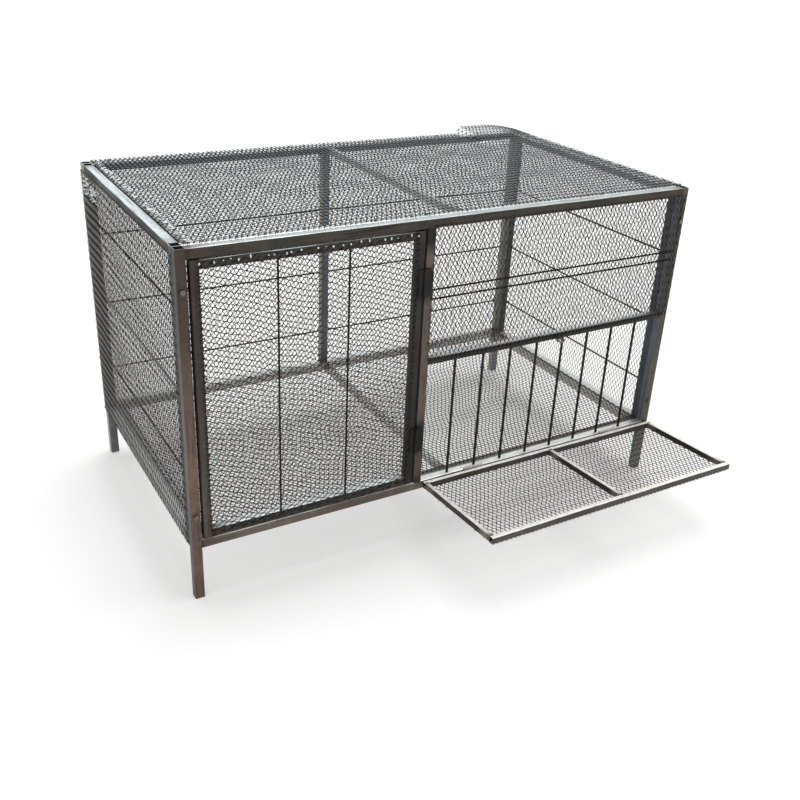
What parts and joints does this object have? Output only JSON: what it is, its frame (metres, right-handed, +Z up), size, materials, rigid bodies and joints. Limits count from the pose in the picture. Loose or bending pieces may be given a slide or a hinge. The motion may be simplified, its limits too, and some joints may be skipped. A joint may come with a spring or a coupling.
{
  "type": "poultry cage",
  "caption": "Knock-down poultry cage of square tube panels and wire netting on short legs, with a side-hung door and a barred feeding opening under a fold-up flap.",
  "frame": {"origin": "on the ground under the middle of the whole cage with its flap lowered", "axes": "+X to the right along the front, +Y from the front to the back, +Z up"},
  "size_m": [1.2024, 0.9488, 0.7412],
  "materials": {
    "frame_zinc": "satin",
    "flap_zinc": "satin",
    "netting": "satin",
    "black_rod": "satin",
    "hinge_steel": "satin",
    "fastener": "satin"
  },
  "bodies": {
    "cage": {"front_left_post": "frame_zinc", "front_right_post": "frame_zinc", "front_top_rail": "frame_zinc", "front_bottom_rail": "frame_zinc", "front_mid_post": "frame_zinc", "front_mid_rail": "frame_zinc", "feeder_bars": "black_rod", "window_rods": "black_rod", "window_net": "netting", "catch_eye": "hinge_steel", "back_left_post": "frame_zinc", "back_right_post": "frame_zinc", "back_top_rail": "frame_zinc", "back_bottom_rail": "frame_zinc", "back_mid_post": "frame_zinc", "back_rods": "black_rod", "back_net": "netting", "left_front_stile": "frame_zinc", "left_back_stile": "frame_zinc", "left_top_rail": "frame_zinc", "left_bottom_rail": "frame_zinc", "left_rods": "black_rod", "left_net": "netting", "right_front_stile": "frame_zinc", "right_back_stile": "frame_zinc", "right_top_rail": "frame_zinc", "right_bottom_rail": "frame_zinc", "right_rods": "black_rod", "right_net": "netting", "roof_front_rail": "frame_zinc", "roof_back_rail": "frame_zinc", "roof_end_rails": "frame_zinc", "roof_cross_rail": "frame_zinc", "roof_net": "netting", "floor_front_rail": "frame_zinc", "floor_back_rail": "frame_zinc", "floor_end_rails": "frame_zinc", "floor_cross_rail": "frame_zinc", "floor_net": "netting", "door_hinge_post_leaves": "hinge_steel", "door_hinge_pins": "hinge_steel", "flap_hinge_frame_leaves": "hinge_steel", "flap_hinge_pins": "hinge_steel", "panel_bolts": "fastener", "panel_nuts": "fastener"},
    "door": {"door_left_stile": "frame_zinc", "door_right_stile": "frame_zinc", "door_top_rail": "frame_zinc", "door_bottom_rail": "frame_zinc", "door_rods": "black_rod", "door_net": "netting", "door_hinge_door_leaves": "hinge_steel"},
    "flap": {"flap_rear_rail": "flap_zinc", "flap_front_rail": "flap_zinc", "flap_left_rail": "flap_zinc", "flap_middle_rail": "flap_zinc", "flap_right_rail": "flap_zinc", "flap_net": "netting", "flap_hinge_flap_leaves": "hinge_steel"}
  },
  "joints": [
    {"name": "door_hinge", "type": "hinge", "parent": "cage", "child": "door", "pos_m": [-0.097, -0.20309, 0.43], "axis": [0, 0, 1], "range_deg": [0, 95]},
    {"name": "flap_hinge", "type": "hinge", "parent": "cage", "child": "flap", "pos_m": [0.262, -0.20174, 0.14335], "axis": [-1, 0, 0], "range_deg": [0, 86]}
  ]
}
